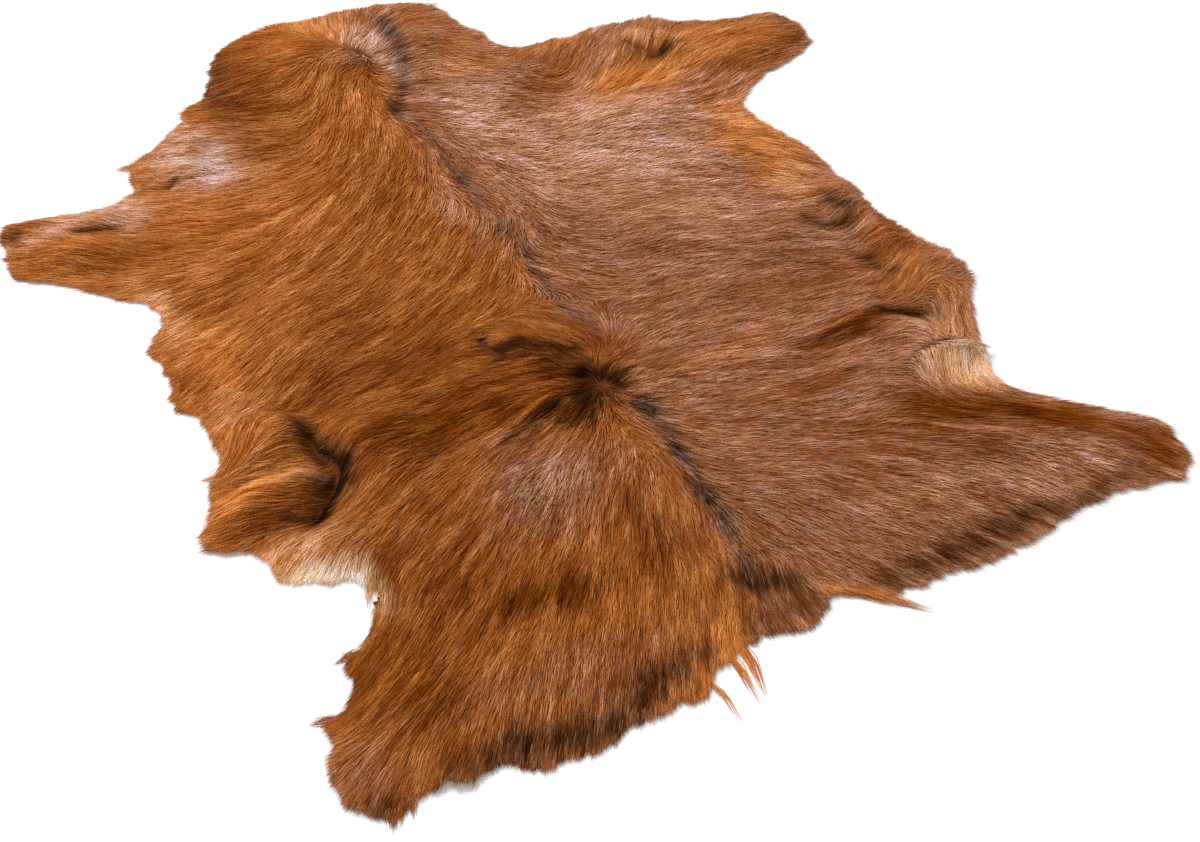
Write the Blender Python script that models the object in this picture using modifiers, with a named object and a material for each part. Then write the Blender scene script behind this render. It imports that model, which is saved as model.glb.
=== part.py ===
"""A whole goatskin lying on the floor, hair side up.

One supple sheet, skin and pile together, in the animal's outline: the neck towards +Y, the tail towards
-Y and a leg at each corner. The belly and flanks gather in soft folds, and locks of hair stand out along
the rim. The tables are in millimetres; the model is in metres, +Z up.
"""
import math
from collections import namedtuple

import bpy
import numpy as np
from mathutils import Vector, geometry, noise

MM = 0.001
COLLECTION = "Goatskin"
HIDE = "hide"
SEED = 11

# The sheet
PILE = 8.0  # skin and the hair lying on it, where the coat is full
RIM_PILE = 3.6  # the same at the cut edge
TIP_PILE = 1.5  # thickness of a lock at its tip
RIM_ROLL = 26.0  # the coat thins towards the edge over this width
PILE_LUMP = 0.16  # share by which the coat's thickness wanders
LUMP_SIZE = 55.0
HOLLOW_PILE = 0.55  # share of the coat left at the bottom of a hollow

# The mesh
GRID = 22.5  # spacing of points where the sheet is plain
FOLD_STEP = 9.5  # closest spacing, along and across a fold
FOLD_REACH = 50.0  # beyond this from a crest the plain spacing serves
GENTLE = 0.32  # and so it does on a fold whose height is a smaller share of its reach
GRID_WANDER = 0.16
RIM_CLEAR = 0.52  # no inner point nearer the rim than this share of the spacing
FOLD_CLEAR = 0.9  # nor nearer another on a fold
PLAIN_CLEAR = 0.72  # nor nearer another elsewhere
ROW_PITCH = GRID * math.sqrt(0.75)
RIM_SAMPLES = 12  # steps of the smooth curve between two rim points
CREST_SAMPLES = 60  # points along a fold from which those of the mesh are picked
CREST_FEWEST = 3
HEIGHT_SAMPLES = 25  # points along a fold from which heights are measured
SAME_POINT = 1e-4

# The locks along the rim
LOCK_PITCH = 17.0
LOCK_WIDTH = 0.74  # share of the pitch that a root takes
LOCK_SPREAD = (0.4, 1.15)  # shortest and longest, as shares of the length in the tables
LOCK_INSET = 0.45  # share of a lock's length that lies inside the outline
FLOW_LEAN = 0.62  # how far a lock follows the lie of the hair rather than straight out
AGAINST_FLOW = 0.3  # share of its length that a lock keeps where the hair lies inwards
FLOW_TURNS = 0.4  # cosine to the outward way, below nought, at which only that share is left
SHORTEN_TRIES = 4
TIP_DROOP = 0.25  # share of the rim's lift that a tip keeps

COAT_COLOUR = (0.235, 0.085, 0.028, 1.0)
COAT_ROUGHNESS = 0.62

Rim = namedtuple("Rim", "x y lock")
LongLock = namedtuple("LongLock", "root_x root_y tip_x tip_y")
Fold = namedtuple("Fold", "start middle end height left right fade")
Swell = namedtuple("Swell", "x y along across turn height")
Hollow = namedtuple("Hollow", "start end width depth")
Flow = namedtuple("Flow", "x y heading")

NECK = (
    Rim(-205, 458, 3), Rim(-197, 482, 3), Rim(-179, 506, 3), Rim(-152, 525, 3), Rim(-116, 533, 3),
    Rim(-82, 532, 3), Rim(-24, 532, 3), Rim(22, 530, 4), Rim(64, 507, 5), Rim(76, 478, 6),
    Rim(83, 457, 6), Rim(97, 445, 7), Rim(105, 414, 5), Rim(129, 395, 4), Rim(184, 393, 4),
    Rim(218, 396, 5), Rim(253, 395, 5),
)
RIGHT_FORELEG = (
    Rim(271, 395, 5), Rim(288, 404, 4), Rim(293, 385, 4), Rim(310, 374, 4), Rim(342, 364, 4),
    Rim(375, 358, 5), Rim(407, 357, 6), Rim(425, 336, 7), Rim(428, 289, 8), Rim(391, 260, 7),
    Rim(351, 246, 5), Rim(320, 220, 5), Rim(307, 199, 5),
)
RIGHT_FLANK = (
    Rim(320, 166, 8), Rim(332, 138, 4), Rim(342, 108, 3), Rim(346, 74, 3), Rim(346, 42, 4),
    Rim(351, 18, 4), Rim(349, -4, 5), Rim(370, -38, 8), Rim(383, -63, 9), Rim(396, -83, 10),
    Rim(405, -95, 10), Rim(399, -114, 9), Rim(397, -134, 8), Rim(385, -160, 5), Rim(365, -214, 2),
    Rim(358, -230, 2), Rim(352, -262, 5),
)
RIGHT_HIND_LEG = (
    Rim(363, -284, 7), Rim(389, -309, 6), Rim(423, -336, 7), Rim(458, -361, 8), Rim(465, -374, 9),
    Rim(463, -396, 10), Rim(462, -414, 10), Rim(456, -430, 11), Rim(432, -441, 11), Rim(407, -438, 11),
    Rim(384, -434, 11), Rim(336, -437, 12), Rim(302, -451, 12), Rim(265, -460, 12), Rim(214, -465, 11),
    Rim(150, -464, 9),
)
TAIL = (
    Rim(116, -452, 8), Rim(96, -447, 8), Rim(83, -458, 8), Rim(72, -466, 9), Rim(46, -477, 9),
    Rim(30, -467, 8), Rim(3, -468, 8), Rim(-14, -475, 9), Rim(-30, -489, 10), Rim(-48, -508, 10),
)
LEFT_HIND_LEG = (
    Rim(-78, -507, 10), Rim(-98, -509, 9), Rim(-119, -513, 9), Rim(-150, -522, 9), Rim(-172, -523, 9),
    Rim(-205, -526, 9), Rim(-217, -514, 7), Rim(-229, -507, 5), Rim(-255, -512, 3), Rim(-284, -507, 4),
    Rim(-300, -519, 9), Rim(-313, -530, 12), Rim(-323, -531, 12), Rim(-336, -518, 11), Rim(-347, -508, 11),
    Rim(-359, -478, 10), Rim(-355, -450, 9), Rim(-341, -442, 6), Rim(-348, -430, 4), Rim(-351, -416, 5),
    Rim(-326, -410, 5), Rim(-308, -394, 6), Rim(-311, -380, 9), Rim(-309, -368, 9), Rim(-310, -357, 8),
    Rim(-287, -345, 6),
)
LEFT_FLANK = (
    Rim(-273, -321, 4), Rim(-274, -299, 2), Rim(-273, -279, 2), Rim(-283, -271, 2), Rim(-290, -277, 2),
    Rim(-312, -267, 3), Rim(-331, -254, 4), Rim(-338, -237, 6), Rim(-346, -222, 8), Rim(-366, -211, 11),
    Rim(-384, -198, 13), Rim(-377, -180, 13), Rim(-369, -161, 13), Rim(-365, -141, 12), Rim(-358, -119, 9),
    Rim(-346, -116, 4), Rim(-344, -93, 3), Rim(-342, -64, 4), Rim(-347, -30, 6), Rim(-358, -21, 9),
    Rim(-368, -10, 10), Rim(-361, 9, 10), Rim(-360, 28, 9), Rim(-363, 67, 7), Rim(-351, 93, 6),
    Rim(-341, 111, 6),
)
LEFT_FORELEG = (
    Rim(-347, 123, 6), Rim(-368, 142, 7), Rim(-393, 165, 8), Rim(-403, 176, 8), Rim(-425, 192, 5),
    Rim(-446, 203, 5), Rim(-463, 222, 5), Rim(-460, 264, 5), Rim(-454, 301, 4), Rim(-431, 301, 3),
    Rim(-401, 299, 3), Rim(-372, 294, 3), Rim(-343, 292, 3), Rim(-325, 302, 3), Rim(-318, 321, 3),
    Rim(-321, 340, 3), Rim(-330, 352, 4), Rim(-310, 350, 6), Rim(-294, 361, 7), Rim(-266, 386, 7),
    Rim(-241, 405, 5), Rim(-245, 418, 4), Rim(-221, 426, 4),
)
OUTLINE = (
    NECK + RIGHT_FORELEG + RIGHT_FLANK + RIGHT_HIND_LEG + TAIL + LEFT_HIND_LEG + LEFT_FLANK + LEFT_FORELEG
)

# Tufts that stand well past the rim, from where they leave it to their tips
LONG_LOCKS = (
    LongLock(112, -456, 168, -493), LongLock(156, -466, 180, -484),
    LongLock(2, -470, -3, -524), LongLock(-22, -484, -12, -529), LongLock(-46, -506, -35, -541),
    LongLock(-322, -530, -328, -541), LongLock(-304, -522, -308, -536), LongLock(-346, -416, -357, -417),
    LongLock(-382, -198, -394, -199), LongLock(-356, -119, -368, -115), LongLock(-325, 351, -338, 353),
    LongLock(-243, 417, -253, 420), LongLock(287, 401, 290, 412), LongLock(330, 160, 342, 158),
    LongLock(-309, -357, -320, -362),
)

# Ridges along a bent line: height at the crest, reach on each side of it, and the share of the
# line over which each end fades out
FOLDS = (
    Fold((-76, -44), (-46, -88), (0, -98), 17, 26, 13, 0.30),  # pinched pleat beside the spine
    Fold((-20, -94), (24, -108), (66, -146), 9, 24, 26, 0.40),  # its soft end over the spine
    Fold((-258, -104), (-300, -96), (-350, -88), 34, 46, 38, 0.30),  # pouch of the left belly
    Fold((-258, -166), (-306, -172), (-384, -188), 30, 28, 40, 0.34),  # flap below the pouch
    Fold((-232, -70), (-216, -142), (-248, -226), 17, 92, 34, 0.40),  # body's side of the deep hollow
    Fold((-300, -242), (-276, -240), (-262, -262), 9, 24, 26, 0.40),  # pale belly by the notch
    Fold((276, -222), (316, -229), (364, -224), 21, 18, 24, 0.34),  # pale crease of the right flank
    Fold((338, 66), (334, -24), (356, -84), 19, 22, 32, 0.28),  # gathered rim of the right flank
    Fold((356, -84), (366, -140), (348, -196), 15, 20, 30, 0.30),
    Fold((298, 28), (262, -12), (206, -26), 9, 24, 24, 0.45),  # folds that run in from that rim
    Fold((306, -128), (268, -150), (206, -166), 10, 24, 22, 0.45),
    Fold((280, -190), (236, -206), (176, -214), 8, 20, 24, 0.45),
    Fold((236, 376), (256, 344), (292, 352), 12, 12, 14, 0.35),  # ear fold behind the right foreleg
    Fold((-402, 272), (-372, 270), (-338, 266), 9, 14, 18, 0.40),  # upper side of the left foreleg
    Fold((-448, 236), (-398, 226), (-330, 206), 12, 26, 30, 0.35),  # its lower side
    Fold((-280, 336), (-266, 318), (-248, 296), 10, 20, 22, 0.45),  # shoulder crease
    Fold((412, 312), (356, 296), (286, 262), 11, 32, 30, 0.35),  # right foreleg
    Fold((436, -404), (350, -366), (244, -318), 12, 44, 46, 0.35),  # right hind leg
    Fold((-336, -486), (-274, -438), (-214, -384), 12, 44, 46, 0.35),  # left hind leg
    Fold((-286, -520), (-270, -502), (-246, -520), 8, 16, 16, 0.30),  # edge turned up below that leg
    Fold((-92, -150), (-136, -214), (-128, -300), 9, 40, 46, 0.40),  # slope left of the rump
    Fold((96, -420), (60, -392), (16, -396), 11, 26, 26, 0.40),  # ruck above the tail
)

# Broad, low rises: half lengths along and across, and the turn of the long one from +X, in degrees
SWELLS = (
    Swell(-104, 436, 102, 92, 10, 24),  # neck
    Swell(28, 452, 60, 54, -50, 12),
    Swell(-228, 30, 118, 92, 60, 15),  # left side
    Swell(196, 226, 118, 84, 20, 13),  # right shoulder
    Swell(150, 40, 110, 70, -30, 9),  # right side
    Swell(-18, -258, 84, 92, 20, 12),  # rump
    Swell(118, -330, 96, 66, -25, 11),
    Swell(-170, -440, 84, 52, 5, 10),
    Swell(-128, 196, 92, 70, 50, 11),  # left shoulder
)

# Dents that pull the sheet down to the floor and part the hair
HOLLOWS = (
    Hollow((-246, -122), (-262, -184), 15, 1.0),  # deep hollow beside the belly folds
    Hollow((-262, -186), (-292, -206), 13, 0.9),
    Hollow((-254, -96), (-254, -74), 11, 0.8),
    Hollow((-290, -142), (-350, -134), 12, 0.65),  # between the pouch and the flap
    Hollow((326, 16), (330, 10), 13, 0.8),
    Hollow((292, 4), (318, -22), 11, 0.8),
    Hollow((322, -74), (332, -88), 12, 0.85),
    Hollow((312, -148), (340, -168), 11, 0.85),
    Hollow((276, -236), (318, -246), 12, 0.6),
    Hollow((252, 322), (264, 322), 11, 0.9),
    Hollow((-392, 255), (-358, 249), 9, 0.8),
    Hollow((36, -408), (60, -430), 15, 0.85),
    Hollow((-52, -106), (-12, -118), 11, 0.8),
)

# The lie of the hair near the rim, as headings in degrees from +X
FLOWS = (
    Flow(-190, 460, 175), Flow(-100, 520, 110), Flow(20, 500, 50), Flow(80, 450, 345), Flow(170, 370, 60),
    Flow(270, 370, 60), Flow(390, 320, 355), Flow(340, 240, 330), Flow(320, 120, 320), Flow(350, 10, 20),
    Flow(390, -90, 30), Flow(375, -170, 260), Flow(340, -250, 300), Flow(430, -370, 320),
    Flow(400, -430, 312), Flow(280, -440, 302), Flow(130, -450, 305), Flow(50, -460, 275),
    Flow(-50, -490, 252), Flow(-210, -510, 248), Flow(-330, -500, 232), Flow(-320, -420, 195),
    Flow(-290, -340, 220), Flow(-270, -290, 250), Flow(-320, -250, 225), Flow(-350, -170, 165),
    Flow(-340, -90, 190), Flow(-340, 20, 208), Flow(-350, 110, 195), Flow(-430, 240, 165),
    Flow(-300, 320, 160), Flow(-240, 400, 165),
)


def clear_scene():
    for obj in list(bpy.data.objects):
        bpy.data.objects.remove(obj, do_unlink=True)


def ease(share):
    share = np.clip(share, 0.0, 1.0)
    return share * share * (3.0 - 2.0 * share)


def bump(offset):
    """1 at the middle, falling smoothly to 0 where offset is 1."""
    return 0.5 + 0.5 * np.cos(math.pi * np.clip(np.abs(offset), 0.0, 1.0))


def bent_line(start, middle, end, count):
    """Points of the smooth arc that passes near the middle point, and its unit directions."""
    t = np.linspace(0.0, 1.0, count)[:, None]
    start, middle, end = (np.array(point, float) for point in (start, middle, end))
    points = start * (1 - t) ** 2 + 2 * middle * t * (1 - t) + end * t**2
    run = 2 * (middle - start) * (1 - t) + 2 * (end - middle) * t
    return points, run / np.linalg.norm(run, axis=1, keepdims=True)


def rise_of_fold(places, fold):
    points, runs = bent_line(fold.start, fold.middle, fold.end, HEIGHT_SAMPLES)
    gaps = places[:, None] - points[None]
    nearest = np.argmin((gaps**2).sum(2), axis=1)
    gap, run = gaps[np.arange(len(places)), nearest], runs[nearest]
    beside = run[:, 0] * gap[:, 1] - run[:, 1] * gap[:, 0]
    beyond = np.abs((run * gap).sum(1))
    reach = np.where(beside > 0, fold.left, fold.right)
    share = nearest / (HEIGHT_SAMPLES - 1)
    ends = ease(np.minimum(share, 1 - share) / fold.fade)
    return fold.height * bump(np.hypot(beside, beyond) / reach) * ends


def rise_of_swell(places, swell):
    turn = math.radians(swell.turn)
    gap = places - (swell.x, swell.y)
    along = gap @ (math.cos(turn), math.sin(turn))
    across = gap @ (-math.sin(turn), math.cos(turn))
    return swell.height * bump(np.hypot(along / swell.along, across / swell.across))


def depth_of_hollows(places):
    """From 0 on the open sheet to 1 at the bottom of the deepest hollow."""
    kept = np.ones(len(places))
    for hollow in HOLLOWS:
        start, end = np.array(hollow.start, float), np.array(hollow.end, float)
        run = end - start
        share = np.clip((places - start) @ run / (run @ run), 0.0, 1.0)
        gap = np.linalg.norm(places - start - share[:, None] * run, axis=1)
        kept *= 1 - hollow.depth * bump(gap / hollow.width)
    return 1 - kept


def lift_of_sheet(places):
    """Height of the underside above the floor."""
    lift = sum(rise_of_fold(places, fold) for fold in FOLDS)
    lift += sum(rise_of_swell(places, swell) for swell in SWELLS)
    return lift * (1 - depth_of_hollows(places))


def thickness_of_coat(places, from_rim):
    lumps = np.array([noise.noise(Vector((x, y, 0.0)) / LUMP_SIZE) for x, y in places])
    full = RIM_PILE + (PILE - RIM_PILE) * ease(from_rim / RIM_ROLL)
    return full * (1 + PILE_LUMP * lumps) * (1 - (1 - HOLLOW_PILE) * depth_of_hollows(places))


def smooth_outline():
    """The outline as a closed curve through its points, with the lock length at each place."""
    rows = np.array(OUTLINE, float)
    before, after, beyond = (np.roll(rows, shift, axis=0) for shift in (1, -1, -2))
    pieces = []
    for step in range(RIM_SAMPLES):
        t = step / RIM_SAMPLES
        pieces.append(
            0.5 * (2 * rows + (after - before) * t
                   + (2 * before - 5 * rows + 4 * after - beyond) * t**2
                   + (3 * rows - before - 3 * after + beyond) * t**3)
        )
    return np.stack(pieces, axis=1).reshape(-1, 3)


def spaced_along(curve, distances):
    closed = np.vstack([curve, curve[:1]])
    steps = np.linalg.norm(np.diff(closed[:, :2], axis=0), axis=1)
    travelled = np.concatenate([[0.0], np.cumsum(steps)])
    return np.column_stack([np.interp(distances, travelled, closed[:, i]) for i in range(3)])


def heading_at(place):
    """Unit direction of the hair at a place, from the nearest rows of the table."""
    rows = np.array(FLOWS, float)
    weight = 1 / (((rows[:, :2] - place) ** 2).sum(1) + LOCK_PITCH**2) ** 2
    turn = np.radians(rows[:, 2])
    mean = weight @ np.column_stack([np.cos(turn), np.sin(turn)])
    return mean / np.linalg.norm(mean)


def lock_tip(root, outward, share):
    """Where a lock of this share of the table's length ends."""
    flow = heading_at(root[:2])
    with_hair = float(flow @ outward)
    lean = outward * (1 - FLOW_LEAN) + flow * FLOW_LEAN if with_hair > 0 else outward
    keep = AGAINST_FLOW + (1 - AGAINST_FLOW) * ease(with_hair + FLOW_TURNS)
    return root[:2] + lean / np.linalg.norm(lean) * root[2] * share * keep


def crosses(start, end, starts, ends):
    """Whether the segment crosses any of the others."""
    def side(a, b, c):
        ab, ac = b - a, c - a
        return ab[..., 0] * ac[..., 1] - ab[..., 1] * ac[..., 0]
    one = side(start, end, starts) * side(start, end, ends) < 0
    other = side(starts, ends, start) * side(starts, ends, end) < 0
    return bool((one & other).any())


def clear_tip(index, tips, lefts, rights):
    """Draws a tip in until the lock crosses no other."""
    middle = (lefts[index] + rights[index]) / 2
    others = np.arange(len(tips)) != index
    starts = np.vstack([lefts[others], tips[others], rights])
    ends = np.vstack([tips[others], rights[others], np.roll(lefts, -1, axis=0)])
    for _ in range(SHORTEN_TRIES):
        sides = ((lefts[index], tips[index]), (tips[index], rights[index]))
        if not any(crosses(start, end, starts, ends) for start, end in sides):
            return
        tips[index] = (tips[index] + middle) / 2


def ragged_rim():
    """Root, tip, root of each lock round the rim, and which of those points are tips."""
    curve = smooth_outline()
    outer = np.vstack([curve, curve[:1]])[:, :2]
    length = np.linalg.norm(np.diff(outer, axis=0), axis=1).sum()
    count = int(length / LOCK_PITCH)
    pitch = length / count
    centres = np.arange(count) * pitch + pitch / 2
    half = pitch * LOCK_WIDTH / 2
    left, middle, right = (spaced_along(curve, centres + shift) for shift in (-half, 0, half))
    run = right[:, :2] - left[:, :2]
    outward = np.column_stack([-run[:, 1], run[:, 0]]) / np.linalg.norm(run, axis=1, keepdims=True)
    inset = outward * middle[:, 2:] * LOCK_INSET
    left, right = left[:, :2] - inset, right[:, :2] - inset
    chance = np.random.default_rng(SEED)
    shares = chance.uniform(*LOCK_SPREAD, count)
    roots = np.column_stack([middle[:, :2] - inset, middle[:, 2] * (1 + LOCK_INSET)])
    tips = np.array([lock_tip(*row) for row in zip(roots, outward, shares)])
    long_ones = set()
    for lock in LONG_LOCKS:
        nearest = int(np.argmin(np.hypot(roots[:, 0] - lock.root_x, roots[:, 1] - lock.root_y)))
        tips[nearest] = lock.tip_x, lock.tip_y
        long_ones.add(nearest)
    for index in sorted(set(range(count)) - long_ones):
        clear_tip(index, tips, left, right)
    rim = np.stack([left, tips, right], axis=1).reshape(-1, 2)
    return rim, np.tile([False, True, False], count)


def distance_to_rim(places, rim):
    start, run = rim, np.roll(rim, -1, axis=0) - rim
    long = (run**2).sum(1)
    nearest = np.full(len(places), np.inf)
    for a, r, size in zip(start, run, long):
        share = np.clip((places - a) @ r / size, 0.0, 1.0)
        nearest = np.minimum(nearest, np.linalg.norm(places - a - share[:, None] * r, axis=1))
    return nearest


def inside(places, rim):
    """Even-odd test against the rim."""
    result = np.zeros(len(places), bool)
    for a, b in zip(rim, np.roll(rim, -1, axis=0)):
        spans = (a[1] > places[:, 1]) != (b[1] > places[:, 1])
        with np.errstate(divide="ignore", invalid="ignore"):
            at = a[0] + (places[:, 1] - a[1]) * (b[0] - a[0]) / (b[1] - a[1])
        result ^= spans & (places[:, 0] < at)
    return result


def places_on_folds():
    """Points along each fold's crest and flanks, and along each hollow."""
    found = []
    for fold in FOLDS:
        if fold.height < GENTLE * min(fold.left, fold.right):
            continue
        points, runs = bent_line(fold.start, fold.middle, fold.end, CREST_SAMPLES)
        long = np.linalg.norm(np.diff(points, axis=0), axis=1).sum()
        count = max(CREST_FEWEST, round(long / FOLD_STEP))
        pick = np.linspace(0, CREST_SAMPLES - 1, count).astype(int)
        beside = np.column_stack([-runs[pick, 1], runs[pick, 0]])
        reach = max(fold.left, fold.right)
        shares = np.linspace(0, 1, 1 + round(reach / FOLD_STEP))
        for share in shares[shares * reach <= FOLD_REACH]:
            found.append(points[pick] + beside * share * fold.left)
            found.append(points[pick] - beside * share * fold.right)
    for hollow in HOLLOWS:
        start, end = np.array(hollow.start, float), np.array(hollow.end, float)
        steps = round(np.linalg.norm(end - start) / FOLD_STEP) + 1
        found.insert(0, start + (end - start) * np.linspace(0, 1, max(2, steps))[:, None])
    return np.vstack(found)


def plain_grid(rim):
    """Points in staggered rows over the whole sheet, a little out of line."""
    low, high = rim.min(0), rim.max(0)
    rows = np.arange(low[1], high[1], ROW_PITCH)
    chance = np.random.default_rng(SEED + 1)
    found = []
    for number, y in enumerate(rows):
        x = np.arange(low[0] + GRID / 2 * (number % 2), high[0], GRID)
        found.append(np.column_stack([x, np.full(len(x), y)]))
    found = np.vstack(found)
    return found + chance.uniform(-GRID_WANDER, GRID_WANDER, found.shape) * GRID


def keep_apart(kept, more, gap):
    """Adds each place that is at least this gap from all those already kept."""
    kept = list(kept)
    for place in more:
        if not kept or ((np.array(kept) - place) ** 2).sum(1).min() >= gap * gap:
            kept.append(place)
    return kept


def inner_places(rim):
    fold_places = places_on_folds()
    near = distance_to_rim(fold_places, rim)
    fold_places = fold_places[inside(fold_places, rim) & (near > FOLD_STEP * RIM_CLEAR)]
    kept = keep_apart([], fold_places, FOLD_STEP * FOLD_CLEAR)
    grid = plain_grid(rim)
    grid = grid[inside(grid, rim) & (distance_to_rim(grid, rim) > GRID * RIM_CLEAR)]
    return np.array(keep_apart(kept, grid, GRID * PLAIN_CLEAR))


def sheet_mesh(rim, tips):
    """The open sheet: its underside, triangulated between the rim and the inner points."""
    inner = inner_places(rim)
    places = np.vstack([rim, inner])
    count = len(rim)
    edges = [(i, (i + 1) % count) for i in range(count)]
    filled = geometry.delaunay_2d_cdt([Vector(place) for place in places], edges, [], 1, SAME_POINT)
    points, faces = np.array([tuple(point) for point in filled[0]]), filled[2]
    source = [origins[0] for origins in filled[3]]
    at_tip = np.concatenate([tips, np.zeros(len(inner), bool)])[source]
    lift = lift_of_sheet(points) * np.where(at_tip, TIP_DROOP, 1.0)
    thick = np.where(at_tip, TIP_PILE, thickness_of_coat(points, distance_to_rim(points, rim)))
    middle = (points.min(0) + points.max(0)) / 2
    mesh = bpy.data.meshes.new(HIDE)
    mesh.from_pydata(np.column_stack([points - middle, lift]) * MM, [], faces)
    mesh.validate()
    return mesh, thick


def coat_material():
    material = bpy.data.materials.new("goat hair")
    material.use_nodes = True
    shader = material.node_tree.nodes["Principled BSDF"]
    shader.inputs["Base Color"].default_value = COAT_COLOUR
    shader.inputs["Roughness"].default_value = COAT_ROUGHNESS
    shader.inputs["Metallic"].default_value = 0.0
    return material


def make_hide(collection):
    """The sheet, thickened upwards from its underside by the skin and the coat."""
    mesh, thick = sheet_mesh(*ragged_rim())
    hide = bpy.data.objects.new(HIDE, mesh)
    collection.objects.link(hide)
    mesh.materials.append(coat_material())
    group = hide.vertex_groups.new(name="coat")
    for index, share in enumerate(thick / thick.max()):
        group.add([index], float(share), "REPLACE")
    coat = hide.modifiers.new("coat", "SOLIDIFY")
    coat.thickness = thick.max() * MM
    coat.offset = 1.0
    coat.use_rim = True
    coat.vertex_group = group.name
    mesh.shade_smooth()
    return hide


def main():
    clear_scene()
    collection = bpy.data.collections.new(COLLECTION)
    bpy.context.scene.collection.children.link(collection)
    make_hide(collection)


main()
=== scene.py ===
import math
from collections import namedtuple

import bpy
import numpy as np
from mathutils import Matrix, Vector
from mathutils.bvhtree import BVHTree


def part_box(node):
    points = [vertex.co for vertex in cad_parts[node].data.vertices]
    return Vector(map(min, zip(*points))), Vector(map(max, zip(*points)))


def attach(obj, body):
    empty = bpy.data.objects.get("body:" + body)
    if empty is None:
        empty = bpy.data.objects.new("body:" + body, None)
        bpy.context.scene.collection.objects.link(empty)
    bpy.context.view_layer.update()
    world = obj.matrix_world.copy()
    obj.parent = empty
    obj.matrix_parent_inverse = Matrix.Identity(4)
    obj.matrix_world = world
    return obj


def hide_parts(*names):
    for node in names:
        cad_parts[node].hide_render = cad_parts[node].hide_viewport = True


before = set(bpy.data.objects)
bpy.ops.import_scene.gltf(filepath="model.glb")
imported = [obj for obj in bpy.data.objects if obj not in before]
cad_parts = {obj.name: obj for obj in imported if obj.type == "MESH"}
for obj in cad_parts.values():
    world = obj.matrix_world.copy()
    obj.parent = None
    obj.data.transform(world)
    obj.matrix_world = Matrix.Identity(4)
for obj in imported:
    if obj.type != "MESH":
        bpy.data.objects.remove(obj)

# A goatskin laid on the floor, hair side up: a thin skin on the solid's folds, and the coat on it
# as short flat strands. The tables are in millimetres, with the neck towards +Y, and the origin of
# the tables lies a little off the middle of the solid's box.

MM = 0.001
TABLE_ORIGIN = (-2.72, 2.43)

# The photograph's camera
FOCAL_MM = 67.17
FILM_MM = 36.0
CAMERA_PLACE = (-0.55917, -1.52398, 1.43)
CAMERA_TILT = 45.5
CAMERA_TURN = -22.1

# The grid on which the solid is read, and how much it is softened
CELL = 4.0
PAINT_CELL = 2.0
MARGIN = 60.0
SOFTEN = 6.0
OUTER_PILE = 2.2
LEAST_PILE = 1.0
EDGE_FADE = 0.12

# The skin
SKIN = 1.4
SKIN_CELL = 4.0
LOCK_RADIUS = 12.0
SKIN_INSET = 3.0
SKIN_SOFTEN = 0.8
SNAP = 0.3
GENTLEST_SLOPE = 0.2

# The coat: lengths in millimetres, turns in degrees, the rest as shares of a length or of the pile
STRAND_PITCH = 1.36
STRAND_WIDTH = 0.68
STRAND_LENGTH = 24.0
LENGTH_RANGE = (0.7, 1.25)
WIDTH_RANGE = (0.7, 1.25)
SHORT_WITH_GLINT = 1.9
SHORT_AT_WHORL = (0.5, 48.0)
MID_SHARE = 0.42
MID_HEIGHT = 0.62
BEND_SHARE = 0.4
BEND_ONWARD = 0.05
LEAST_RISE = 0.35
CLUMP_RISE = (0.8, 0.25)
STREAK_RISE = 0.35
ROLL = 7.0
FRAY = 5.0
SWAY = (9, 24)
CLUMPS = ((8.0, 0.26), (3.6, 0.30))
STREAKS = ((9.0, 50.0, 0.09), (2.6, 26.0, 0.16))
STREAK_STEP = 3.5
BANDS = 4

# The rim: where the hair turns outward, how far the fringe reaches, and the hair beside a slit
EDGE_BAND = 16.0
EDGE_SOFTEN = 8.0
EDGE_OUTWARD = 0.3
FRINGE_BAND = 9.0
FRINGE_PITCH = 1.15
FRINGE_LENGTH = 22.0
FRINGE_RANGE = (0.5, 1.35)
FRINGE_PULL = 1.9
FRINGE_REACH = (1.0, 12.0, 6.0)
FRINGE_MEAN = 0.4
FRINGE_WAVES = ((0.45, 17, 60), (0.45, 7, 61))
FRINGE_MOST = 1.2
SLIT_STOP = 0.9
STUB = 0.12
SHORTEN_TRIES = 9
SHORTEN_STEP = 0.84

# Shades: from the colours as seen to those of the strands, how single strands vary, and the painted
# glints
COAT_GAIN = (1.15, 1.04, 0.75)
PALE_GAIN = 1.5
DARK_STREAKS = 2.0
DARK_LIMIT = 3
BRIGHTEST = 0.9
WARMEST = (1.0, 0.93, 0.86)
SHADE_TINT = (1.0, 1.6, 2.7)
ROOT_DARK = (0.72, 0.58, 0.45)
TIP_LIGHT = 0.2
# The fringe's and the long locks' tips are paler: partly the hair's paler tips, partly painted glow of
# light through the thin hair at the rim
FRINGE_LIGHT = 0.24
STRAND_SPREAD = 0.09
CLUMP_SPREAD = 0.25
GLINT_SPREAD = 0.5
GLINT_COOL = 5
GLINT_ON_TIP = 0.55
GLINT_ON_MIDDLE = 0.2
HUE_SPREAD = 0.07

# The long locks, as shares of their spread, their length or the pile
TUFT_ACROSS = 0.55
TUFT_BACK = 3.0
TUFT_SHORTER = 0.8
TUFT_FAN = 0.3
TUFT_STRAY = 0.5
TUFT_MIDDLE = 0.45
TUFT_BOW = (0.06, 0.03)
TUFT_RISE = (0.3, 1)
TUFT_HEIGHTS = (0.2, 0.7, 0.4)
TUFT_DROP = 0.8
TUFT_WIDTHS = (0.8, 1.2)

# How the patches and lines of colour are broken up, with sizes in millimetres
NOISE_HALF = 900.0
WANDERS = ((46, 13), (14, 6))
LINE_WANDER = 0.25
RAGGED_SIZE = 4.5
RAGGED_REACH = 2.5
BREAK_SIZE = 17
BREAK_MEAN = 0.72
BREAK_SPREAD = 0.4
SPINE_BLEND = 14
ZONE_EDGE = 1.5

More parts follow.
